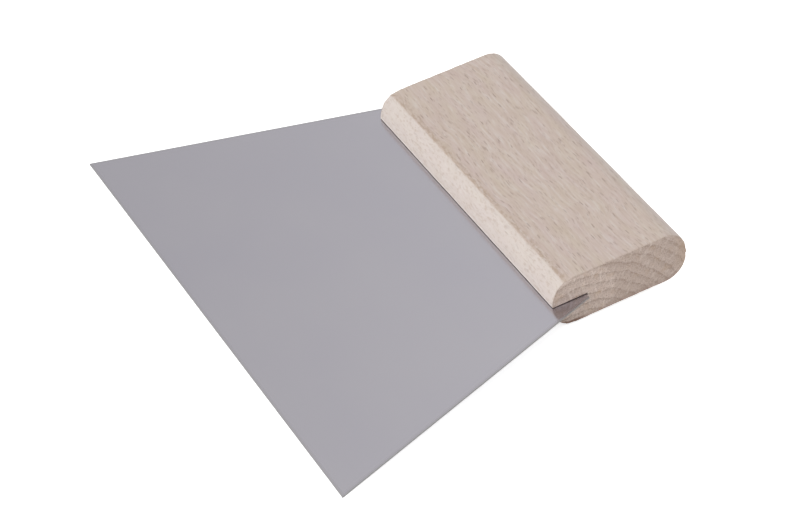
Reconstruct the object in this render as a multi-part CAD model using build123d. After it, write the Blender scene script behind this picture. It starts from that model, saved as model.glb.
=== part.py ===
from build123d import *
import os

# Flexible putty knife: a thin sheet-steel blade glued into a saw kerf along the
# front of a slab handle of beech. Sizes are in millimetres.
# X runs along the handle, -Y points to the scraping edge and +Z is up. The origin
# is on the plane of the flat underside, in the middle of the tool's footprint.

# Handle, a slab of wood with its grain along X
handle_length = 111.0
handle_width = 47.5
handle_thickness = 18.0
nose_reach = 4.5            # the nose's arc, from the mouth back to each flat face
back_land = 2.6             # the strip between the two rounds of the back
nose_arris_radius = 1.5
lip_radius = 0.25           # the two lips of the mouth, once the kerf is sawn
end_arris_radius = 0.4      # around both end faces

# Kerf, sawn in from the mouth at mid-thickness and open at both ends
kerf_depth = 12.5

# Blade, a flat sheet that narrows from its scraping edge to its root
blade_thickness = 0.5
tip_width = 180.0
blade_reach = 89.5          # from the mouth to the scraping edge
root_overhang = 1.5         # past each end face, where the side meets the kerf's bottom

# Glue, which lines the kerf above, below and behind the blade
glue_gap = 0.25             # between the blade and each wall of the kerf
root_gap = 0.6              # between the blade's root and the bottom of the kerf
glue_recess = 0.9           # from the mouth and from each end face to the glue

kerf_height = blade_thickness + 2 * glue_gap
mouth_y = (blade_reach - handle_width) / 2
blade_plane_z = handle_thickness / 2

# The sub-parts are drawn with the mouth on Y = 0 and the blade's plane on Z = 0
placed = Location((0, mouth_y, blade_plane_z))


def slab_outline():
    """The slab's cross-section in (Y, Z): a curved nose, flat faces and a rounded back."""
    half = handle_thickness / 2
    mouth = (0, 0)
    top_arris = (nose_reach, half)
    bottom_arris = (nose_reach, -half)
    back_top = (handle_width, half)
    back_bottom = (handle_width, -half)
    lines = [
        ThreePointArc(bottom_arris, mouth, top_arris),
        Polyline(top_arris, back_top, back_bottom, bottom_arris),
    ]
    outline = make_face(lines)
    back = outline.vertices().sort_by(Axis.X)[-2:]
    outline = fillet(back, (handle_thickness - back_land) / 2)
    arrises = outline.vertices().sort_by(Axis.X)[:2]
    return fillet(arrises, nose_arris_radius)


def kerf():
    """The space that the saw leaves, cut right through from end to end."""
    return Pos(0, kerf_depth / 2, 0) * Box(2 * handle_length, kerf_depth, kerf_height)


def handle():
    """The slab with softened end faces, the kerf in its nose and its lips eased."""
    profile = Plane.YZ * slab_outline()
    slab = extrude(profile, handle_length / 2, both=True)
    ends = slab.faces().filter_by(Axis.X).edges()
    slab = fillet(ends, end_arris_radius) - kerf()
    lips = slab.edges().filter_by(Axis.X).group_by(Axis.Y)[0]
    return fillet(lips, lip_radius)


def blade():
    """The sheet: its straight sides stand proud of the end faces all along the kerf."""
    tip_half = tip_width / 2
    kerf_bottom_half = handle_length / 2 + root_overhang
    side_slope = (tip_half - kerf_bottom_half) / (blade_reach + kerf_depth)
    root_y = kerf_depth - root_gap
    root_half = kerf_bottom_half + side_slope * root_gap
    outline = Polyline(
        (-tip_half, -blade_reach),
        (tip_half, -blade_reach),
        (root_half, root_y),
        (-root_half, root_y),
        close=True,
    )
    return extrude(make_face(outline), blade_thickness / 2, both=True)


def glue_line(sheet):
    """What is left of the kerf around the sheet, set back from the mouth and the ends."""
    length = handle_length - 2 * glue_recess
    depth = kerf_depth - glue_recess
    filling = Pos(0, glue_recess + depth / 2, 0) * Box(length, depth, kerf_height)
    return filling - sheet


sheet = blade()
nodes = {
    "handle": handle(),
    "blade": sheet,
    "glue_line": glue_line(sheet),
}

os.makedirs("parts", exist_ok=True)
for name, shape in nodes.items():
    node = placed * shape
    node.label = name
    export_step(node, f"parts/{name}.step")
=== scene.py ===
import math

import bmesh
import bpy
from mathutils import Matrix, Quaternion, Vector


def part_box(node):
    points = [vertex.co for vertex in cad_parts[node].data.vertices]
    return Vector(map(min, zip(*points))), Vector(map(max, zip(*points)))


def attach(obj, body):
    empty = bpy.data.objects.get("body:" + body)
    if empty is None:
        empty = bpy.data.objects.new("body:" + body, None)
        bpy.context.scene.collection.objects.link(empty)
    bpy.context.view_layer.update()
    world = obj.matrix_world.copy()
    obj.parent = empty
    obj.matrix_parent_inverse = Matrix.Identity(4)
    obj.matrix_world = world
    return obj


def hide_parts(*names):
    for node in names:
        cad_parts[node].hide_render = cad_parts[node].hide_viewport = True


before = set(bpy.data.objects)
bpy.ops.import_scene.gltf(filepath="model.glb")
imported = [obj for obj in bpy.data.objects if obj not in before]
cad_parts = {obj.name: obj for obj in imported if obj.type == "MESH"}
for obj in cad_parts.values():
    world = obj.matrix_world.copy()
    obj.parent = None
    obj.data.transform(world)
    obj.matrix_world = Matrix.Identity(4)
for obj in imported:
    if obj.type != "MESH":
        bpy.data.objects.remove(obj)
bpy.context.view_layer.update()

# ---------------------------------------------------------------- sizes, in metres
MM = 0.001

handle_low, handle_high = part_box("handle")
blade_low, blade_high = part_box("blade")

# The slab of the handle, as the joiner shapes it. The mouth is where the nose would
# meet itself if no kerf were sawn into it.
HANDLE_LENGTH = handle_high.x - handle_low.x
HANDLE_THICKNESS = handle_high.z - handle_low.z
HANDLE_BACK = handle_high.y
HANDLE_WIDTH = 47.5 * MM
MOUTH_Y = HANDLE_BACK - HANDLE_WIDTH
MIDDLE_Z = (handle_low.z + handle_high.z) / 2
NOSE_REACH = 4.5 * MM
NOSE_RADIUS = (NOSE_REACH**2 + (HANDLE_THICKNESS / 2) ** 2) / (2 * NOSE_REACH)
NOSE_ARRIS = 1.5 * MM
BACK_LAND = 2.6 * MM
END_EASING = 0.4 * MM
KERF_DEPTH = 12.5 * MM
KERF_HEIGHT = 1 * MM
LIP_EASING = 0.25 * MM
CORNER_REACH = 3.5 * MM

ROOT_OVERHANG = 1.5 * MM
BLADE_SLANT = MOUTH_Y + KERF_DEPTH - blade_low.y
SIDE_SLOPE = (blade_high.x - HANDLE_LENGTH / 2 - ROOT_OVERHANG) / BLADE_SLANT

# The knife leans forward until its scraping edge meets the floor.
FLOOR_CLEARANCE = 0.03 * MM
rest_front = Vector((0, blade_low.y, blade_low.z - FLOOR_CLEARANCE))
rest_back = Vector((0, MOUTH_Y + NOSE_REACH, handle_low.z - FLOOR_CLEARANCE))


# ---------------------------------------------------------------- node helpers
class Wires:
    """Adds nodes to one tree and links them, so that a tree reads as a list of steps."""

    def __init__(self, tree):
        self.tree = tree

    def add(self, kind, inputs=None, **settings):
        made = self.tree.nodes.new(kind)
        for name, value in settings.items():
            setattr(made, name, value)
        for name, value in (inputs or {}).items():
            self.feed(made.inputs[name], value)
        return made

    def feed(self, socket, value):
        if isinstance(value, bpy.types.NodeSocket):
            self.tree.links.new(value, socket)
        else:
            socket.default_value = value

    def math(self, operation, first, second=None):
        made = self.tree.nodes.new("ShaderNodeMath")
        made.operation = operation
        for socket, value in zip(made.inputs, (first, second)):
            if value is not None:
                self.feed(socket, value)
        return made.outputs[0]

    def times(self, first, second):
        return self.math("MULTIPLY", first, second)

    def plus(self, first, second):
        return self.math("ADD", first, second)

    def less(self, first, second):
        return self.math("SUBTRACT", first, second)

    def vector(self, operation, first, second=None):
        made = self.tree.nodes.new("ShaderNodeVectorMath")
        made.operation = operation
        for socket, value in zip(made.inputs, (first, second)):
            if value is not None:
                self.feed(socket, value)
        return made.outputs["Value" if operation in ("LENGTH", "DOT_PRODUCT") else "Vector"]

    def enlarge(self, vector, scale):
        """A vector made longer by a number or by a socket's value."""
        made = self.add("ShaderNodeVectorMath", {"Vector": vector, "Scale": scale}, operation="SCALE")
        return made.outputs["Vector"]

    def split(self, vector):
        made = self.add("ShaderNodeSeparateXYZ", {"Vector": vector})
        return made.outputs["X"], made.outputs["Y"], made.outputs["Z"]

    def join(self, x, y, z):
        return self.add("ShaderNodeCombineXYZ", {"X": x, "Y": y, "Z": z}).outputs["Vector"]

    def noise(self, vector, scale, detail=2.0, roughness=0.5):
        settings = {"Vector": vector, "Scale": scale, "Detail": detail, "Roughness": roughness}
        return self.add("ShaderNodeTexNoise", settings).outputs["Fac"]

    def ramp(self, value, low, high, to_low=0.0, to_high=1.0, smooth=True):
        names = {"Value": value, "From Min": low, "From Max": high, "To Min": to_low, "To Max": to_high}
        shape = "SMOOTHSTEP" if smooth else "LINEAR"
        return self.add("ShaderNodeMapRange", names, interpolation_type=shape).outputs["Result"]

    def blend(self, factor, first, second):
        """The second colour laid over the first, as thickly as the factor says."""
        made = self.tree.nodes.new("ShaderNodeMix")
        made.data_type = "RGBA"
        self.feed(made.inputs[0], factor)
        self.feed(made.inputs[6], first)
        self.feed(made.inputs[7], second)
        return made.outputs[2]


def new_group(name, kind, inputs, outputs):
    """An empty node group with named sockets, and the wires to fill it."""
    tree = bpy.data.node_groups.new(name, kind)
    for label, (socket_type, value) in inputs.items():
        socket = tree.interface.new_socket(label, in_out="INPUT", socket_type=socket_type)
        if value is not None:
            socket.default_value = value
    for label, socket_type in outputs.items():
        tree.interface.new_socket(label, in_out="OUTPUT", socket_type=socket_type)
    wires = Wires(tree)
    source = tree.nodes.new("NodeGroupInput").outputs
    sink = tree.nodes.new("NodeGroupOutput").inputs
    return wires, source, sink


def use_group(wires, tree, values):
    made = wires.tree.nodes.new("ShaderNodeGroup")
    made.node_tree = tree
    for name, value in values.items():
        wires.feed(made.inputs[name], value)
    return made.outputs


def new_material(name):
    """A new material, its wires, its Principled BSDF and the surface's place in millimetres."""
    material = bpy.data.materials.new(name)
    material.use_nodes = True
    material.node_tree.nodes.clear()
    wires = Wires(material.node_tree)
    shader = wires.add("ShaderNodeBsdfPrincipled")
    output = wires.add("ShaderNodeOutputMaterial")
    wires.feed(output.inputs["Surface"], shader.outputs["BSDF"])
    place = wires.add("ShaderNodeTexCoord").outputs["Object"]
    return material, wires, shader, wires.enlarge(place, 1 / MM)


# ---------------------------------------------------------------- shared effects
def flecks_group():
    """Short spindles along X, each with its own depth: the rays and vessels that a sawn face cuts."""
    wires, source, sink = new_group(
        "Spindle Flecks",
        "ShaderNodeTree",
        {
            "Place": ("NodeSocketVector", None),
            "Length": ("NodeSocketFloat", 4.0),
            "Width": ("NodeSocketFloat", 0.6),
            "Share": ("NodeSocketFloat", 0.5),
            "Fullness": ("NodeSocketFloat", 0.4),
        },
        {"Mask": "NodeSocketFloat"},
    )
    x, y, z = wires.split(source["Place"])
    cell = wires.join(
        wires.math("DIVIDE", x, source["Length"]),
        wires.math("DIVIDE", y, source["Width"]),
        wires.math("DIVIDE", z, source["Width"]),
    )
    cells = wires.add("ShaderNodeTexVoronoi", {"Vector": cell, "Scale": 1.0})
    lot, depth, _ = wires.split(cells.outputs["Color"])
    chosen = wires.math("LESS_THAN", lot, source["Share"])
    near = wires.math("DIVIDE", cells.outputs["Distance"], source["Fullness"])
    body = wires.ramp(near, 1.0, 0.45)
    depth = wires.ramp(depth, 0.0, 1.0, 0.35, 1.0, smooth=False)
    wires.feed(sink["Mask"], wires.times(wires.times(body, chosen), depth))
    return wires.tree


def rings_group():
    """Growth rings round a pith that runs along X."""
    wires, source, sink = new_group(
        "Growth Rings",
        "ShaderNodeTree",
        {
            "Place": ("NodeSocketVector", None),
            "Pith": ("NodeSocketVector", None),
            "Spacing": ("NodeSocketFloat", 3.0),
            "Wander": ("NodeSocketFloat", 1.0),
        },
        {"Late Wood": "NodeSocketFloat", "Line": "NodeSocketFloat", "Ray": "NodeSocketFloat"},
    )
    flat = wires.vector("MULTIPLY", source["Place"], (0.12, 1.0, 1.0))
    drift = wires.noise(flat, 0.09, 2.0)
    ripple = wires.noise(flat, 0.6, 2.0)
    from_pith = wires.vector("SUBTRACT", source["Place"], source["Pith"])
    across = wires.vector("MULTIPLY", from_pith, (0.0, 1.0, 1.0))
    swing = wires.times(wires.less(drift, 0.5), 5.0)
    shiver = wires.times(wires.less(ripple, 0.5), 1.4)
    wander = wires.times(wires.plus(swing, shiver), source["Wander"])
    radius = wires.plus(wires.vector("LENGTH", across), wander)
    turn = wires.math("FRACT", wires.math("DIVIDE", radius, source["Spacing"]))
    rise = wires.ramp(turn, 0.25, 0.9)
    fall = wires.ramp(turn, 0.93, 1.0, 1.0, 0.0)
    wires.feed(sink["Late Wood"], wires.times(rise, fall))
    wires.feed(sink["Line"], wires.times(wires.ramp(turn, 0.72, 0.9), fall))
    _, side, height = wires.split(across)
    bearing = wires.math("ARCTAN2", side, height)
    spoke = wires.join(wires.times(bearing, 38.0), wires.times(radius, 0.30), 7.3)
    wires.feed(sink["Ray"], wires.ramp(wires.noise(spoke, 1.0, 1.0), 0.52, 0.70))
    return wires.tree


def drift_group():
    """A slow, soft change of tone over a surface, from 0 to 1."""
    wires, source, sink = new_group(
        "Slow Drift",
        "ShaderNodeTree",
        {
            "Place": ("NodeSocketVector", None),
            "Stretch": ("NodeSocketVector", (1.0, 1.0, 1.0)),
            "Patch Size": ("NodeSocketFloat", 10.0),
        },
        {"Tone": "NodeSocketFloat"},
    )
    pulled = wires.vector("DIVIDE", source["Place"], source["Stretch"])
    scale = wires.math("DIVIDE", 1.0, source["Patch Size"])
    wires.feed(sink["Tone"], wires.ramp(wires.noise(pulled, scale, 3.0), 0.25, 0.75, smooth=False))
    return wires.tree


def slab_group():
    """Where a point of the slab lies: its distance from the end arris, the nose arris and mid-height, in
    millimetres, and how far into the rounded back it is, from 0 to 1."""
    wires, source, sink = new_group(
        "Slab Arrises",
        "ShaderNodeTree",
        {
            "Place": ("NodeSocketVector", None),
            "Half Length": ("NodeSocketFloat", 50.0),
            "Half Thickness": ("NodeSocketFloat", 9.0),
            "Middle": ("NodeSocketFloat", 9.0),
            "Mouth": ("NodeSocketFloat", 0.0),
            "Nose Reach": ("NodeSocketFloat", 4.0),
            "Nose Radius": ("NodeSocketFloat", 11.0),
            "Back": ("NodeSocketFloat", 40.0),
            "Back Land": ("NodeSocketFloat", 2.0),
        },
        {
            "End": "NodeSocketFloat",
            "Nose": "NodeSocketFloat",
            "Lip": "NodeSocketFloat",
            "Back Round": "NodeSocketFloat",
        },
    )
    x, y, z = wires.split(source["Place"])
    rise = wires.math("ABSOLUTE", wires.less(z, source["Middle"]))
    half_land = wires.math("DIVIDE", source["Back Land"], 2.0)
    back_radius = wires.less(source["Half Thickness"], half_land)
    nose_centre = wires.plus(source["Mouth"], source["Nose Radius"])
    nose_arm = wires.join(0.0, wires.less(y, nose_centre), rise)
    to_nose = wires.less(source["Nose Radius"], wires.vector("LENGTH", nose_arm))
    back_centre = wires.less(source["Back"], back_radius)
    past = wires.math("MAXIMUM", wires.less(y, back_centre), 0.0)
    over = wires.math("MAXIMUM", wires.less(rise, half_land), 0.0)
    to_back = wires.less(back_radius, wires.vector("LENGTH", wires.join(0.0, past, over)))
    to_outline = wires.math("MAXIMUM", wires.math("MINIMUM", to_nose, to_back), 0.0)
    to_end = wires.math("MAXIMUM", wires.less(source["Half Length"], wires.math("ABSOLUTE", x)), 0.0)
    wires.feed(sink["End"], wires.plus(to_outline, to_end))
    arris = wires.plus(source["Mouth"], source["Nose Reach"])
    arm = wires.join(0.0, wires.less(y, arris), wires.less(rise, source["Half Thickness"]))
    wires.feed(sink["Nose"], wires.vector("LENGTH", arm))
    wires.feed(sink["Lip"], rise)
    wires.feed(sink["Back Round"], wires.math("DIVIDE", past, back_radius))
    return wires.tree


FLECKS = flecks_group()
RINGS = rings_group()
DRIFT = drift_group()
SLAB = slab_group()


# ---------------------------------------------------------------- materials
SANDY = (0.612, 0.520, 0.438, 1.0)
ROSY = (0.598, 0.484, 0.452, 1.0)
TAN = (0.47, 0.36, 0.28, 1.0)
DARK = (0.36, 0.27, 0.22, 1.0)
MILKY = (0.69, 0.635, 0.60, 1.0)
# The colour of the painted highlight along the nose's lip.
PAINTED_HIGHLIGHT = (0.80, 0.74, 0.70, 1.0)
GREY = (0.600, 0.486, 0.425, 1.0)
UMBER = (0.30, 0.215, 0.17, 1.0)
STRAW = (0.76, 0.655, 0.595, 1.0)
AMBER = (0.50, 0.34, 0.21, 1.0)
# The colour of the painted shade low down under the nose.
LOW_SHADE = (0.19, 0.10, 0.06, 1.0)

# The pith of the tree lay below the slab. Its place and the ring spacing are in millimetres.
PITH = (0.0, MOUTH_Y / MM + 8.0, -20.0)
RING_SPACING = 3.3
GRAIN_LEAN = 0.022
GRAIN_SWAY = 4.0


def slab_distances(wires, place):
    """Where a point lies on the slab, worked out from the handle's own sizes."""
    sizes = {
        "Place": place,
        "Half Length": HANDLE_LENGTH / MM / 2,
        "Half Thickness": HANDLE_THICKNESS / MM / 2,
        "Middle": MIDDLE_Z / MM,
        "Mouth": MOUTH_Y / MM,
        "Nose Reach": NOSE_REACH / MM,
        "Nose Radius": NOSE_RADIUS / MM,
        "Back": HANDLE_BACK / MM,
        "Back Land": BACK_LAND / MM,
    }
    return use_group(wires, SLAB, sizes)


def along_grain(wires, place):
    """The place, bent so that lines along X run a little askew and sway gently."""
    x, y, z = wires.split(place)
    sway = wires.noise(wires.vector("MULTIPLY", place, (1.0, 0.5, 0.5)), 0.05, 1.0)
    aside = wires.plus(wires.times(x, GRAIN_LEAN), wires.times(wires.less(sway, 0.5), GRAIN_SWAY))
    return wires.join(x, wires.plus(y, aside), wires.plus(z, aside))


def beech_marks(wires, place, grain, nose):
    """The masks that the wood's colour and its relief are both made from."""
    rings = use_group(wires, RINGS, {"Place": place, "Pith": PITH, "Spacing": RING_SPACING})
    blush = {"Place": grain, "Stretch": (3.0, 1.0, 1.0), "Patch Size": 4.5}
    streak = {"Place": grain, "Stretch": (11.0, 1.0, 1.0), "Patch Size": 0.75}
    patch = {"Place": place, "Stretch": (4.0, 1.0, 1.0), "Patch Size": 3.5}
    bold = {"Place": grain, "Length": 5.2, "Width": 0.80, "Share": 0.66, "Fullness": 0.35}
    fine = {"Place": grain, "Length": 3.2, "Width": 0.52, "Share": 0.75, "Fullness": 0.40}
    fray = wires.noise(wires.vector("MULTIPLY", grain, (0.4, 1.0, 1.0)), 1.5, 3.0, 0.65)
    return {
        "late wood": rings["Late Wood"],
        "line": rings["Line"],
        "ray": rings["Ray"],
        "blush": use_group(wires, DRIFT, blush)["Tone"],
        "streak": use_group(wires, DRIFT, streak)["Tone"],
        "patch": use_group(wires, DRIFT, patch)["Tone"],
        "bold": use_group(wires, FLECKS, bold)["Mask"],
        "fine": use_group(wires, FLECKS, fine)["Mask"],
        "pores": wires.noise(wires.vector("MULTIPLY", place, (0.5, 1.0, 1.0)), 2.4, 3.0, 0.7),
        "fray": fray,
        "mottled": wires.times(nose, wires.ramp(fray, 0.50, 0.66, 0.0, 0.42)),
    }


def long_grain(wires, marks, slab, nose):
    """The colour of the faces along the grain: streaked, flecked, and palest on the nose, where painted sheen
    lies over paler wood, with painted light on the back round and a painted highlight along the lip.
    """
    colour = wires.blend(marks["blush"], SANDY, ROSY)
    colour = wires.blend(wires.ramp(marks["streak"], 0.40, 1.0, 0.0, 0.34), colour, TAN)
    colour = wires.blend(wires.ramp(marks["streak"], 0.50, 0.0, 0.0, 0.50), colour, MILKY)
    colour = wires.blend(wires.times(marks["late wood"], 0.10), colour, TAN)
    colour = wires.blend(wires.times(marks["bold"], 0.62), colour, DARK)
    colour = wires.blend(wires.times(marks["fine"], 0.34), colour, DARK)
    burr = wires.times(wires.ramp(slab["Nose"], 3.0, 0.8), wires.ramp(marks["fray"], 0.44, 0.60, 0.05, 0.85))
    colour = wires.blend(wires.times(burr, wires.less(1.0, nose)), colour, TAN)
    # Painted light: the rounded back made paler where it turns toward the light.
    colour = wires.blend(wires.ramp(slab["Back Round"], 0.2, 0.8, 0.0, 0.45), colour, MILKY)
    # Paler on the nose: partly a paler tone of the wood, partly painted sheen.
    colour = wires.blend(wires.times(nose, 0.60), colour, MILKY)
    colour = wires.blend(marks["mottled"], colour, TAN)
    # Painted highlight: a lighter line along the nose's lip at the mouth.
    lip = wires.times(wires.ramp(slab["Lip"], 1.6, 0.9), nose)
    return wires.blend(wires.times(lip, 0.6), colour, PAINTED_HIGHLIGHT)


def end_grain(wires, marks, slab):
    """The colour of the two end faces: rings, rays and pores, and browner round the rim."""
    colour = wires.blend(wires.times(marks["late wood"], 0.30), GREY, UMBER)
    colour = wires.blend(wires.times(marks["line"], 0.35), colour, UMBER)
    colour = wires.blend(wires.times(marks["ray"], 0.45), colour, STRAW)
    colour = wires.blend(wires.ramp(marks["pores"], 0.50, 0.70, 0.0, 0.75), colour, UMBER)
    colour = wires.blend(wires.ramp(marks["pores"], 0.48, 0.30, 0.0, 0.65), colour, STRAW)
    colour = wires.blend(wires.ramp(marks["patch"], 0.55, 0.95, 0.0, 0.30), colour, AMBER)
    colour = wires.blend(wires.ramp(slab["Back Round"], 0.3, 1.0, 0.0, 0.35), colour, AMBER)
    return wires.blend(wires.ramp(slab["End"], 0.8, 0.2, 0.0, 0.24), colour, UMBER)


def worn_and_shaded_arrises(wires, colour, marks, slab, place, end):
    """The arrises of the ends: rubbed, and darkened low down with painted shade, most of all under the nose.
    """
    rubbed = wires.times(wires.ramp(slab["End"], 0.9, 0.2), wires.ramp(marks["pores"], 0.4, 0.6, 0.1, 0.4))
    colour = wires.blend(wires.times(rubbed, wires.less(1.0, end)), colour, TAN)
    _, y, z = wires.split(place)
    # Painted shade along the low end arris, most of all under the overhanging nose.
    low = wires.times(wires.ramp(slab["End"], 1.8, 1.0), wires.ramp(z, 2.8, 1.2))
    shade_under_nose = wires.ramp(y, MOUTH_Y / MM + 13.0, MOUTH_Y / MM + 7.0, 0.2, 0.9)
    return wires.blend(wires.times(low, shade_under_nose), colour, LOW_SHADE)


def beech_relief(wires, marks, fuzz, end):
    """The surface's height: raised fibres and open vessels along the grain, sawn pores across it."""
    along = wires.plus(wires.times(fuzz, 0.25), wires.times(marks["streak"], 0.35))
    for name, depth in (("mottled", 0.8), ("bold", 0.7), ("fine", 0.35)):
        along = wires.less(along, wires.times(marks[name], depth))
    across = wires.less(wires.times(marks["pores"], -1.4), wires.times(marks["line"], 0.3))
    height = wires.tree.nodes.new("ShaderNodeMix")
    wires.feed(height.inputs[0], end)
    wires.feed(height.inputs[2], along)
    wires.feed(height.inputs[3], across)
    return height.outputs[0]


def beech():
    """Raw, fine-sanded beech: pale pink-tan along the grain, darker and greyer on the ends."""
    material, wires, shader, place = new_material("sanded_beech")
    facing = wires.split(wires.add("ShaderNodeTexCoord").outputs["Normal"])
    end = wires.ramp(wires.math("ABSOLUTE", facing[0]), 0.5, 0.8)
    nose = wires.ramp(wires.times(facing[1], -1.0), 0.15, 0.6)
    slab = slab_distances(wires, place)
    grain = along_grain(wires, place)
    marks = beech_marks(wires, place, grain, nose)
    colour = wires.blend(end, long_grain(wires, marks, slab, nose), end_grain(wires, marks, slab))
    colour = worn_and_shaded_arrises(wires, colour, marks, slab, place, end)
    wires.feed(shader.inputs["Base Color"], colour)
    fuzz = wires.noise(wires.vector("MULTIPLY", grain, (0.12, 1.0, 1.0)), 5.0, 4.0, 0.6)
    wires.feed(shader.inputs["Roughness"], wires.ramp(fuzz, 0.3, 0.7, 0.58, 0.72))
    shader.inputs["Specular IOR Level"].default_value = 0.35
    height = beech_relief(wires, marks, fuzz, end)
    bump = wires.add("ShaderNodeBump", {"Height": height, "Strength": 0.9, "Distance": 0.12 * MM})
    wires.feed(shader.inputs["Normal"], bump.outputs["Normal"])
    return material


def spring_steel():
    """Bright rolled sheet: near-mirror, with faint rolling lines along X and a few light rubs."""
    material, wires, shader, place = new_material("spring_steel")
    shader.inputs["Metallic"].default_value = 1.0
    rolled = wires.vector("MULTIPLY", place, (0.012, 1.0, 1.0))
    lines = wires.noise(rolled, 3.0, 3.0, 0.6)
    cloud = use_group(wires, DRIFT, {"Place": place, "Stretch": (1.4, 1.0, 1.0), "Patch Size": 28.0})["Tone"]
    flat = wires.vector("MULTIPLY", place, (1.0, 1.0, 0.0))
    rubs = use_group(
        wires, FLECKS, {"Place": flat, "Length": 16.0, "Width": 0.7, "Share": 0.12, "Fullness": 0.3}
    )["Mask"]
    cool = (0.518, 0.502, 0.552, 1.0)
    warm = (0.536, 0.520, 0.560, 1.0)
    rimmed = (0.475, 0.462, 0.485, 1.0)
    side_grey = (0.40, 0.39, 0.39, 1.0)
    colour = wires.blend(cloud, cool, warm)

    # A dull, slightly darker rim along the sheet's free edges, and darker, duller side faces.
    x, y, _ = wires.split(place)
    along = wires.less(y, blade_low.y / MM)
    half = wires.less(blade_high.x / MM, wires.times(along, SIDE_SLOPE))
    to_side = wires.less(half, wires.math("ABSOLUTE", x))
    rim = wires.ramp(wires.math("MINIMUM", to_side, along), 1.0, 0.35)
    colour = wires.blend(wires.times(rim, 0.8), colour, rimmed)
    upright = wires.split(wires.add("ShaderNodeTexCoord").outputs["Normal"])[2]
    side_faces = wires.ramp(wires.math("ABSOLUTE", upright), 0.7, 0.3)
    colour = wires.blend(side_faces, colour, side_grey)
    wires.feed(shader.inputs["Base Color"], colour)
    rough = wires.plus(wires.ramp(cloud, 0.0, 1.0, 0.15, 0.19), wires.ramp(lines, 0.3, 0.7, 0.0, 0.03))
    rough = wires.plus(rough, wires.times(rubs, 0.03))
    rough = wires.plus(rough, wires.times(rim, 0.12))
    rough = wires.plus(rough, wires.times(side_faces, 0.25))
    wires.feed(shader.inputs["Roughness"], rough)
    bump = wires.add("ShaderNodeBump", {"Height": lines, "Strength": 0.05, "Distance": 0.01 * MM})
    wires.feed(shader.inputs["Normal"], bump.outputs["Normal"])
    return material


def cured_glue():
    """Dark cured adhesive, a little glossy where it pooled."""
    material, wires, shader, place = new_material("cured_glue")
    tone = use_group(wires, DRIFT, {"Place": place, "Stretch": (3.0, 1.0, 1.0), "Patch Size": 2.0})["Tone"]
    thick = (0.05, 0.035, 0.025, 1.0)
    thin = (0.11, 0.08, 0.055, 1.0)
    wires.feed(shader.inputs["Base Color"], wires.blend(tone, thick, thin))
    wires.feed(shader.inputs["Roughness"], wires.ramp(tone, 0.0, 1.0, 0.3, 0.55))
    lumps = wires.noise(place, 1.5, 2.0)
    bump = wires.add("ShaderNodeBump", {"Height": lumps, "Strength": 0.5, "Distance": 0.1 * MM})
    wires.feed(shader.inputs["Normal"], bump.outputs["Normal"])
    return material


# ---------------------------------------------------------------- the handle
ARC_STEP = 0.25 * MM
LIP_STEP = 0.08 * MM
OUTLINE_STEP = 0.4 * MM
SHARP_FROM = math.radians(40)


def arc(centre, radius, start, end, step=ARC_STEP):
    """Points on an arc about a centre in (Y, Z), from one bearing to another, both included."""
    count = max(2, math.ceil(abs(end - start) * radius / step))
    bearings = [start + (end - start) * i / count for i in range(count + 1)]
    return [Vector((0, centre[0] + radius * math.cos(a), centre[1] + radius * math.sin(a))) for a in bearings]


def upper_outline():
    """The slab's upper half in (Y, Z), from the kerf's bottom round the nose and back to mid-height."""
    half = HANDLE_THICKNESS / 2
    wall = KERF_HEIGHT / 2
    lip = arc((LIP_EASING, wall + LIP_EASING), LIP_EASING, -math.pi / 2, -math.pi, LIP_STEP)
    inner = NOSE_RADIUS - NOSE_ARRIS
    arris_z = half - NOSE_ARRIS
    arris_y = NOSE_RADIUS - math.sqrt(inner**2 - arris_z**2)
    lean = math.asin(arris_z / inner)
    first = math.asin((wall + LIP_EASING) / NOSE_RADIUS)
    nose = arc((NOSE_RADIUS, 0), NOSE_RADIUS, math.pi - first, math.pi - lean)
    arris = arc((arris_y, arris_z), NOSE_ARRIS, math.pi - lean, math.pi / 2)
    back_radius = half - BACK_LAND / 2
    back = arc((HANDLE_WIDTH - back_radius, BACK_LAND / 2), back_radius, math.pi / 2, 0)
    return [Vector((0, KERF_DEPTH, wall))] + lip + nose[1:] + arris[1:] + back


def outline():
    """The slab's whole outline, kerf and all, as closely spaced points about the mouth."""
    upper = upper_outline()
    lower = [Vector((0, p.y, -p.z)) for p in reversed(upper)]
    corners = upper + lower
    points = []
    for here, there in zip(corners, corners[1:] + corners[:1]):
        pieces = max(1, math.ceil((there - here).length / OUTLINE_STEP))
        points += [here.lerp(there, i / pieces) for i in range(pieces)]
    return points


def outline_mesh():
    """The outline as a mesh of points, each with its outward direction and how far it may be eased."""
    points = outline()
    count = len(points)
    mesh = bpy.data.meshes.new("slab_outline")
    moved = [p + Vector((0, MOUTH_Y, MIDDLE_Z)) for p in points]
    mesh.from_pydata(moved, [(i, (i + 1) % count) for i in range(count)], [])
    outward = []
    eased = []
    corner = []
    arris = Vector((0, NOSE_REACH, HANDLE_THICKNESS / 2))
    for i, here in enumerate(points):
        along = (points[(i + 1) % count] - points[i - 1]).normalized()
        outward.extend(Vector((1, 0, 0)).cross(along))
        eased.append(min(1, max(0, (abs(here.z) - KERF_HEIGHT / 2) / LIP_EASING)))
        from_arris = (Vector((0, here.y, abs(here.z))) - arris).length
        corner.append(max(0, 1 - from_arris / CORNER_REACH))
    mesh.attributes.new("outward", "FLOAT_VECTOR", "POINT").data.foreach_set("vector", outward)
    mesh.attributes.new("eased", "FLOAT", "POINT").data.foreach_set("value", eased)
    mesh.attributes.new("corner", "FLOAT", "POINT").data.foreach_set("value", corner)
    return mesh


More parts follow.
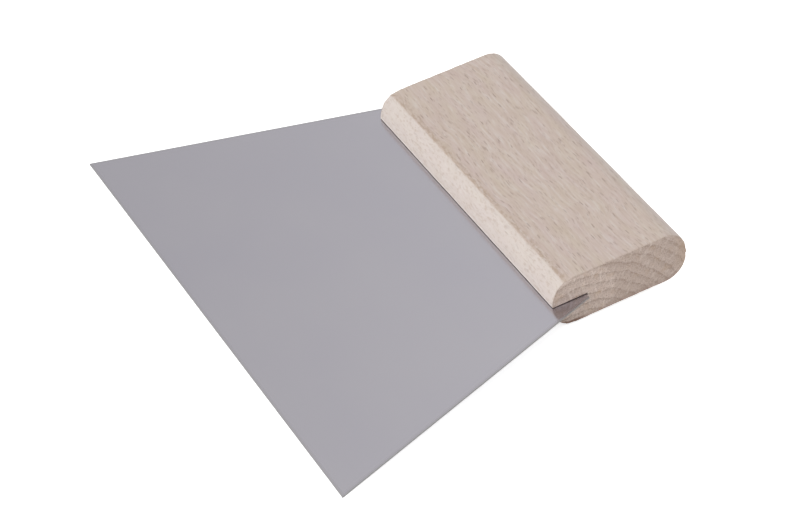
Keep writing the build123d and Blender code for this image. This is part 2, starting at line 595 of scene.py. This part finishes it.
def stations(wires, source, station):
    """Where a station lies: evenly spaced between the ends, then a quarter turn over each end arris."""
    centre = wires.math("DIVIDE", wires.less(source["Stations"], 1.0), 2.0)
    offset = wires.less(station, centre)
    body = wires.less(centre, source["Easing Steps"])
    beyond = wires.math("MAXIMUM", wires.less(wires.math("ABSOLUTE", offset), body), 0.0)
    turn = wires.times(wires.math("DIVIDE", beyond, source["Easing Steps"]), math.pi / 2)
    run = wires.math("MINIMUM", wires.math("DIVIDE", wires.math("ABSOLUTE", offset), body), 1.0)
    half = wires.math("DIVIDE", source["Length"], 2.0)
    straight = wires.less(half, source["End Easing"])
    reach = wires.times(run, straight)
    reach = wires.plus(reach, wires.times(wires.math("SINE", turn), source["End Easing"]))
    x = wires.times(reach, wires.math("SIGN", offset))
    inset = wires.times(wires.less(1.0, wires.math("COSINE", turn)), source["End Easing"])
    return x, inset, wires.less(straight, reach), wires.less(half, reach)


def sanding(wires, source, point, from_easing, from_end, corner_share):
    """What sanding by hand takes off: a little more here and a little less there, never adding any."""
    spot = wires.enlarge(point, 1 / MM)
    place = {"Vector": spot, "W": source["Seed"]}
    fine = wires.add("ShaderNodeTexNoise", {**place, "Scale": 0.5}, noise_dimensions="4D")
    slow = wires.add("ShaderNodeTexNoise", {**place, "Scale": 0.12}, noise_dimensions="4D")
    near_end = wires.ramp(from_easing, 1.5 * MM, 0.0)
    nick = wires.times(wires.ramp(fine.outputs[0], 0.35, 0.75), near_end)
    nick = wires.times(nick, source["End Waver"])
    sway = wires.times(wires.ramp(slow.outputs[0], 0.3, 0.7), source["Side Waver"])
    knock = wires.times(wires.ramp(from_end, 3.0 * MM, 0.0), corner_share)
    knock = wires.times(knock, source["Corner Easing"])
    return wires.plus(nick, wires.plus(sway, knock))


def moulding_tree():
    """Geometry Nodes that run an outline along X, ease its ends and let the arrises waver."""
    wires, source, sink = new_group(
        "Moulded Slab",
        "GeometryNodeTree",
        {
            "Outline": ("NodeSocketGeometry", None),
            "Length": ("NodeSocketFloat", 0.1),
            "End Easing": ("NodeSocketFloat", 0.0004),
            "Easing Steps": ("NodeSocketInt", 5),
            "Stations": ("NodeSocketInt", 101),
            "End Waver": ("NodeSocketFloat", 0.0),
            "Side Waver": ("NodeSocketFloat", 0.0),
            "Corner Easing": ("NodeSocketFloat", 0.0),
            "Seed": ("NodeSocketFloat", 1.0),
            "Material": ("NodeSocketMaterial", None),
        },
        {"Slab": "NodeSocketGeometry"},
    )

    # A grid with a row for each station and a column for each point of the outline, the first one twice.
    size = wires.add("GeometryNodeAttributeDomainSize", {"Geometry": source["Outline"]})
    count = size.outputs["Point Count"]
    columns = wires.plus(count, 1.0)
    grid = wires.add("GeometryNodeMeshGrid", {"Vertices X": source["Stations"], "Vertices Y": columns})
    index = wires.add("GeometryNodeInputIndex").outputs["Index"]
    station = wires.math("FLOOR", wires.math("DIVIDE", wires.plus(index, 0.5), columns))
    column = wires.less(index, wires.times(station, columns))
    column = wires.math("MODULO", wires.math("ROUND", column), count)

    def sample(value, data_type):
        found = {"Geometry": source["Outline"], "Value": value, "Index": column}
        made = wires.add("GeometryNodeSampleIndex", found, data_type=data_type, domain="POINT")
        return made.outputs["Value"]

    def look_up(name, data_type):
        made = wires.add("GeometryNodeInputNamedAttribute", {"Name": name}, data_type=data_type)
        return sample(made.outputs["Attribute"], data_type)

    corner = sample(wires.add("GeometryNodeInputPosition").outputs["Position"], "FLOAT_VECTOR")
    outward = look_up("outward", "FLOAT_VECTOR")
    eased = look_up("eased", "FLOAT")
    corner_share = look_up("corner", "FLOAT")

    x, inset, from_easing, from_end = stations(wires, source, station)
    _, y, z = wires.split(corner)
    point = wires.join(x, y, z)
    inset = wires.plus(inset, sanding(wires, source, point, from_easing, from_end, corner_share))
    inset = wires.times(inset, eased)
    shell = wires.vector("SUBTRACT", point, wires.enlarge(outward, inset))

    placed = wires.add("GeometryNodeSetPosition", {"Geometry": grid.outputs["Mesh"], "Position": shell})
    seam = {"Geometry": placed.outputs[0], "Distance": 0.001 * MM}
    closed = wires.add("GeometryNodeMergeByDistance", seam)
    real = wires.add("GeometryNodeRealizeInstances", {"Geometry": closed.outputs[0]})
    finish = {"Geometry": real.outputs[0], "Material": source["Material"]}
    finished = wires.add("GeometryNodeSetMaterial", finish)
    wires.feed(sink["Slab"], finished.outputs[0])
    return wires.tree


def plain_mesh(made, name):
    """Turns an object with modifiers into a plain one that has their result as its mesh."""
    graph = bpy.context.evaluated_depsgraph_get()
    result = bpy.data.meshes.new_from_object(made.evaluated_get(graph), depsgraph=graph)
    result.name = name
    made.modifiers.clear()
    made.data = result
    return result


def close_ends(mesh):
    """Closes the two open ends, turns all faces outwards and smooths them up to the sharp arrises."""
    shape = bmesh.new()
    shape.from_mesh(mesh)
    rims = [edge for edge in shape.edges if edge.is_boundary]
    ends = bmesh.ops.holes_fill(shape, edges=rims, sides=0)["faces"]
    bmesh.ops.triangulate(shape, faces=ends)
    bmesh.ops.recalc_face_normals(shape, faces=shape.faces[:])
    for face in shape.faces:
        face.smooth = True
        face.material_index = 0
    shape.to_mesh(mesh)
    shape.free()
    mesh.set_sharp_from_angle(angle=SHARP_FROM)


def slab(material):
    """The wooden slab: an outline run from end to end, with its two end faces closed."""
    made = bpy.data.objects.new("beech_slab", outline_mesh())
    bpy.context.scene.collection.objects.link(made)
    tree = moulding_tree()
    modifier = made.modifiers.new("moulding", "NODES")
    modifier.node_group = tree
    sizes = {
        "Length": HANDLE_LENGTH,
        "End Easing": END_EASING,
        "Easing Steps": 5,
        "Stations": 121,
        "End Waver": 0.13 * MM,
        "Side Waver": 0.08 * MM,
        "Corner Easing": 0.55 * MM,
        "Seed": 4.0,
        "Material": material,
    }
    for item in tree.interface.items_tree:
        if item.in_out == "INPUT" and item.name in sizes:
            modifier[item.identifier] = sizes[item.name]
    mesh = plain_mesh(made, "beech_slab")
    close_ends(mesh)
    mesh.materials.clear()
    mesh.materials.append(material)
    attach(made, "root")
    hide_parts("handle")


def give(node, material):
    """Puts a material on a CAD node, in place of the plain one that it came with."""
    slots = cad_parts[node].data.materials
    slots.clear()
    slots.append(material)


slab(beech())
give("blade", spring_steel())
give("glue_line", cured_glue())


# ---------------------------------------------------------------- floor, light and camera
FLOOR_REACH = 1.6
FLOOR_GLOW = 0.72
FLOOR_FADE_FROM = 350.0
FLOOR_FADE_TO = 1400.0
WHITE = (1.0, 1.0, 1.0, 1.0)
PALE = (0.86, 0.86, 0.86, 1.0)

# One half of the surround, the one towards BRIGHT_SIDE, is brighter, and the two halves blend at the seam.
SURROUND_DIM = 0.64
SURROUND_BRIGHT = 0.896
SURROUND_SEAM = 0.14
BRIGHT_SIDE = (0.47, 0.88, 0.10)

CAMERA_AZIMUTH = math.radians(66.57)
CAMERA_ELEVATION = math.radians(41.24)
CAMERA_ROLL = math.radians(7.30)
CAMERA_DISTANCE = 0.916
CAMERA_AIM = Vector((11.86, -7.89, 9.0)) * MM
SENSOR_WIDTH = 36.0
LENS = 133.7


def pale_floor():
    """A matt white sheet that fades out far from the knife."""
    material, wires, shader, place = new_material("pale_floor")
    shader.inputs["Base Color"].default_value = PALE
    shader.inputs["Roughness"].default_value = 0.9
    shader.inputs["Specular IOR Level"].default_value = 0.1
    away = wires.vector("LENGTH", place)
    wires.feed(shader.inputs["Alpha"], wires.ramp(away, FLOOR_FADE_FROM, FLOOR_FADE_TO, 1.0, 0.0))
    shader.inputs["Emission Color"].default_value = WHITE
    seen = wires.add("ShaderNodeLightPath").outputs["Is Camera Ray"]
    wires.feed(shader.inputs["Emission Strength"], wires.times(seen, FLOOR_GLOW))
    return material


def floor():
    """A pale disc that the knife lies on, touching its scraping edge and its underside's front."""
    along = (rest_back - rest_front).normalized()
    upright = Vector((1, 0, 0)).cross(along)
    mesh = bpy.data.meshes.new("floor")
    shape = bmesh.new()
    bmesh.ops.create_circle(shape, cap_ends=True, radius=FLOOR_REACH, segments=64)
    shape.to_mesh(mesh)
    shape.free()
    mesh.materials.append(pale_floor())
    made = bpy.data.objects.new("floor", mesh)
    bpy.context.scene.collection.objects.link(made)
    made.rotation_mode = "QUATERNION"
    made.rotation_quaternion = upright.to_track_quat("Z", "Y")
    made.location = (rest_front + rest_back) / 2


def surround():
    """A world that is plain white to the eye and lights the knife more from one side."""
    world = bpy.data.worlds.new("white_surround")
    bpy.context.scene.world = world
    world.use_nodes = True
    world.node_tree.nodes.clear()
    wires = Wires(world.node_tree)
    seen = wires.add("ShaderNodeBackground", {"Color": WHITE, "Strength": 1.0})
    toward = wires.add("ShaderNodeTexCoord").outputs["Generated"]
    lean = wires.vector("DOT_PRODUCT", toward, BRIGHT_SIDE)
    seam = (-SURROUND_SEAM, SURROUND_SEAM)
    strength = wires.ramp(lean, *seam, SURROUND_DIM, SURROUND_BRIGHT, smooth=False)
    lit = wires.add("ShaderNodeBackground", {"Color": WHITE, "Strength": strength})
    mixed = wires.tree.nodes.new("ShaderNodeMixShader")
    wires.feed(mixed.inputs[0], wires.add("ShaderNodeLightPath").outputs["Is Camera Ray"])
    wires.feed(mixed.inputs[1], lit.outputs["Background"])
    wires.feed(mixed.inputs[2], seen.outputs["Background"])
    output = wires.add("ShaderNodeOutputWorld")
    wires.feed(output.inputs["Surface"], mixed.outputs["Shader"])


def panel(name, place, size, power):
    """A soft rectangular light that faces the knife."""
    light = bpy.data.lights.new(name, "AREA")
    light.shape = "RECTANGLE"
    light.size, light.size_y = size
    light.energy = power
    made = bpy.data.objects.new(name, light)
    bpy.context.scene.collection.objects.link(made)
    made.location = place
    made.rotation_mode = "QUATERNION"
    made.rotation_quaternion = (-Vector(place)).to_track_quat("-Z", "Y")


def camera():
    """A long lens from the right of the scraping edge, looking down on the near end."""
    back = Vector(
        (
            math.sin(CAMERA_AZIMUTH) * math.cos(CAMERA_ELEVATION),
            -math.cos(CAMERA_AZIMUTH) * math.cos(CAMERA_ELEVATION),
            math.sin(CAMERA_ELEVATION),
        )
    )
    data = bpy.data.cameras.new("camera")
    data.sensor_width = SENSOR_WIDTH
    data.lens = LENS
    data.clip_start = 0.01
    data.clip_end = 20.0
    made = bpy.data.objects.new("camera", data)
    bpy.context.scene.collection.objects.link(made)
    made.location = CAMERA_AIM + back * CAMERA_DISTANCE
    made.rotation_mode = "QUATERNION"
    level = (-back).to_track_quat("-Z", "Y")
    made.rotation_quaternion = level @ Quaternion((0, 0, 1), -CAMERA_ROLL)
    bpy.context.scene.camera = made


floor()
surround()
panel("key", place=(0.1, -0.9, 0.45), size=(0.9, 0.6), power=5.5)
camera()
bpy.context.scene.view_settings.view_transform = "Standard"
